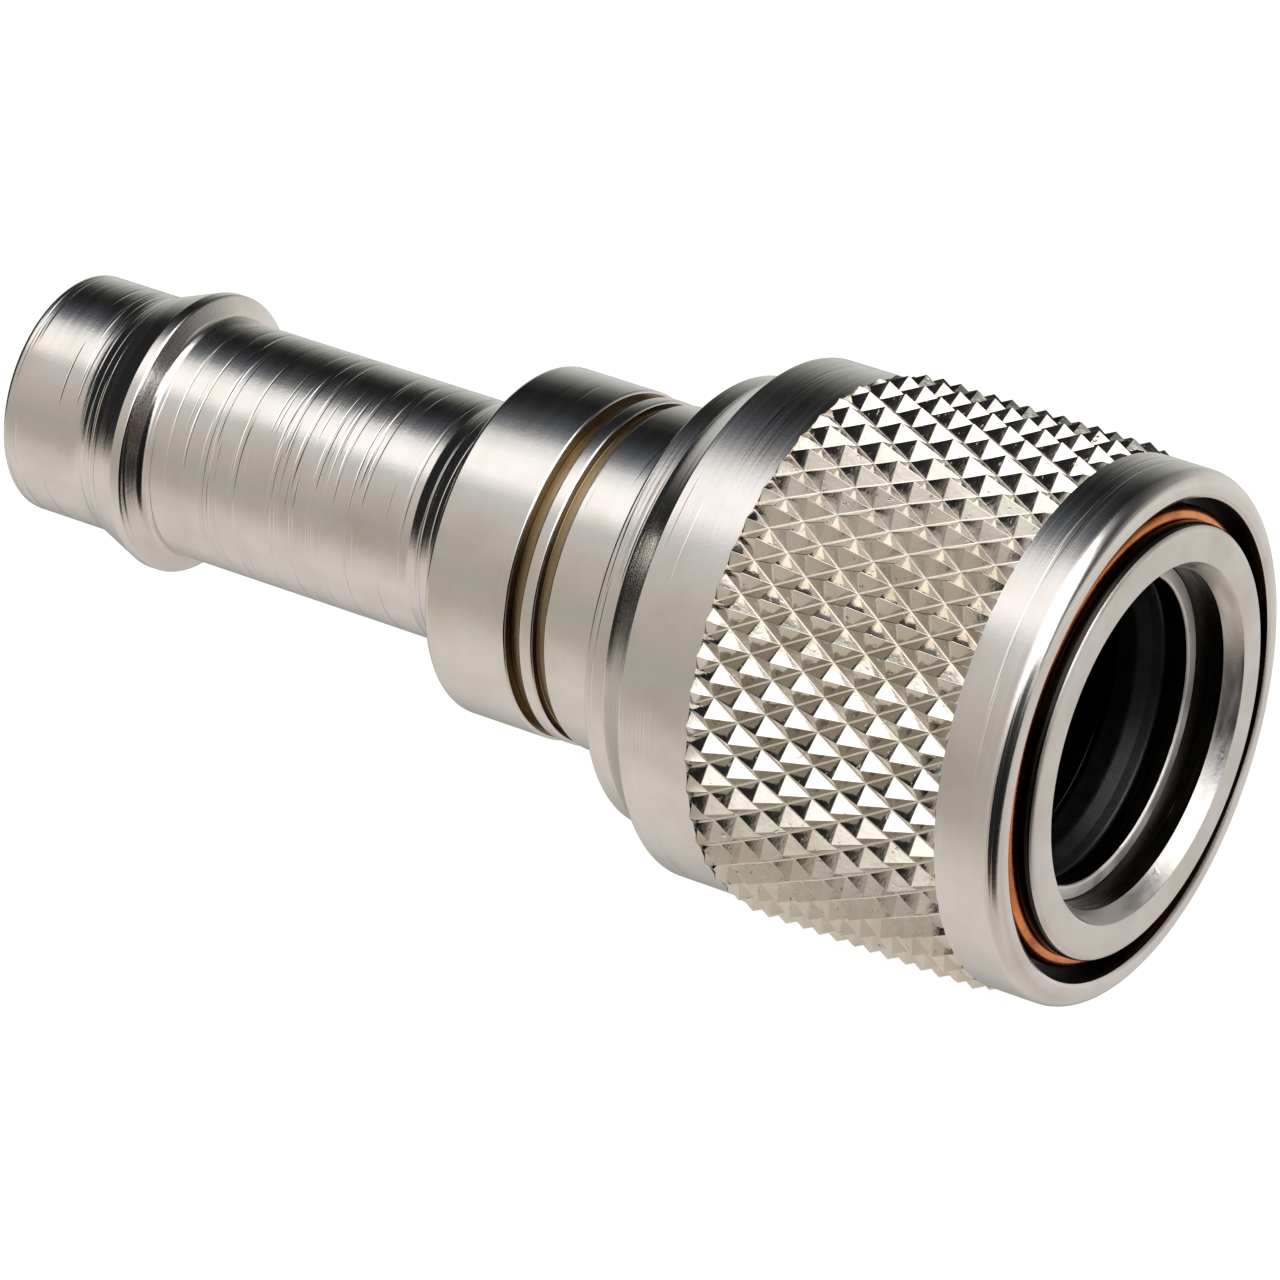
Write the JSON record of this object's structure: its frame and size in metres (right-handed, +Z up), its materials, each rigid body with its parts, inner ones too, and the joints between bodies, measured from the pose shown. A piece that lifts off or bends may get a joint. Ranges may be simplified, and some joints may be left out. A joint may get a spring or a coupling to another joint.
{
  "type": "quick-connect hose coupling socket",
  "caption": "Push-pull quick coupling socket with a knurled spring-loaded sleeve, ball lock, shut-off valve and a barbed hose tail.",
  "frame": {"origin": "on the axis, where the lead-in chamfer meets the entry bore of the mouth", "axes": "+X along the coupling's axis, out of the mouth; +Z up when it lies on its side"},
  "size_m": [0.0512, 0.022, 0.022],
  "materials": {
    "nickel_plated_brass": "turned brass under a warm nickel plate, fine circumferential tool marks",
    "knurled_nickel_brass": "diamond knurled brass under a warm nickel plate, bright peaks and dark valleys",
    "copper_wire": "drawn copper-coloured round wire, bright",
    "nitrile_rubber": "moulded black nitrile rubber, satin",
    "spring_steel": "drawn stainless spring wire",
    "plain_brass": "bare turned brass",
    "ball_steel": "ground and polished steel ball"
  },
  "bodies": {
    "socket": {"hose_tail": "nickel_plated_brass", "joint_washer": "nickel_plated_brass", "tail_o_ring": "nitrile_rubber", "socket_body": "nickel_plated_brass", "snap_ring": "copper_wire", "bore_seal": "nitrile_rubber", "spring_washer": "spring_steel", "spring_circlip": "spring_steel", "valve_spring": "spring_steel", "valve_spring_seat": "plain_brass"},
    "sleeve_slider": {"sleeve_spring": "spring_steel"},
    "sleeve": {"release_sleeve": "knurled_nickel_brass"},
    "valve": {"valve_poppet": "plain_brass", "poppet_o_ring": "nitrile_rubber"},
    "ball_1": {"locking_ball_1": "ball_steel"},
    "ball_2": {"locking_ball_2": "ball_steel"},
    "ball_3": {"locking_ball_3": "ball_steel"},
    "ball_4": {"locking_ball_4": "ball_steel"},
    "ball_5": {"locking_ball_5": "ball_steel"},
    "ball_6": {"locking_ball_6": "ball_steel"},
    "ball_7": {"locking_ball_7": "ball_steel"},
    "ball_8": {"locking_ball_8": "ball_steel"}
  },
  "joints": [
    {"name": "sleeve_slide", "type": "slide", "parent": "socket", "child": "sleeve_slider", "axis": [-1, 0, 0], "range_m": [0, 0.003], "stiffness_N_per_m": 400, "springref_m": -0.01, "deforming": ["sleeve_spring"]},
    {"name": "sleeve_spin", "type": "hinge", "parent": "sleeve_slider", "child": "sleeve", "pos_m": [0, 0, 0], "axis": [1, 0, 0], "continuous": true},
    {"name": "valve_slide", "type": "slide", "parent": "socket", "child": "valve", "axis": [-1, 0, 0], "range_m": [0, 0.0022], "stiffness_N_per_m": 150, "springref_m": -0.005, "deforming": ["valve_spring"]},
    {"name": "ball_lift_1", "type": "slide", "parent": "socket", "child": "ball_1", "axis": [0, 0, 1], "range_m": [0, 0.00055]},
    {"name": "ball_lift_2", "type": "slide", "parent": "socket", "child": "ball_2", "axis": [0, -0.7071, 0.7071], "range_m": [0, 0.00055]},
    {"name": "ball_lift_3", "type": "slide", "parent": "socket", "child": "ball_3", "axis": [0, -1, 0], "range_m": [0, 0.00055]},
    {"name": "ball_lift_4", "type": "slide", "parent": "socket", "child": "ball_4", "axis": [0, -0.7071, -0.7071], "range_m": [0, 0.00055]},
    {"name": "ball_lift_5", "type": "slide", "parent": "socket", "child": "ball_5", "axis": [0, 0, -1], "range_m": [0, 0.00055]},
    {"name": "ball_lift_6", "type": "slide", "parent": "socket", "child": "ball_6", "axis": [0, 0.7071, -0.7071], "range_m": [0, 0.00055]},
    {"name": "ball_lift_7", "type": "slide", "parent": "socket", "child": "ball_7", "axis": [0, 1, 0], "range_m": [0, 0.00055]},
    {"name": "ball_lift_8", "type": "slide", "parent": "socket", "child": "ball_8", "axis": [0, 0.7071, 0.7071], "range_m": [0, 0.00055]}
  ],
  "couplings": [
    {"joint": "ball_lift_1", "follows": "sleeve_slide", "ratio": 0.18333},
    {"joint": "ball_lift_2", "follows": "sleeve_slide", "ratio": 0.18333},
    {"joint": "ball_lift_3", "follows": "sleeve_slide", "ratio": 0.18333},
    {"joint": "ball_lift_4", "follows": "sleeve_slide", "ratio": 0.18333},
    {"joint": "ball_lift_5", "follows": "sleeve_slide", "ratio": 0.18333},
    {"joint": "ball_lift_6", "follows": "sleeve_slide", "ratio": 0.18333},
    {"joint": "ball_lift_7", "follows": "sleeve_slide", "ratio": 0.18333},
    {"joint": "ball_lift_8", "follows": "sleeve_slide", "ratio": 0.18333}
  ]
}
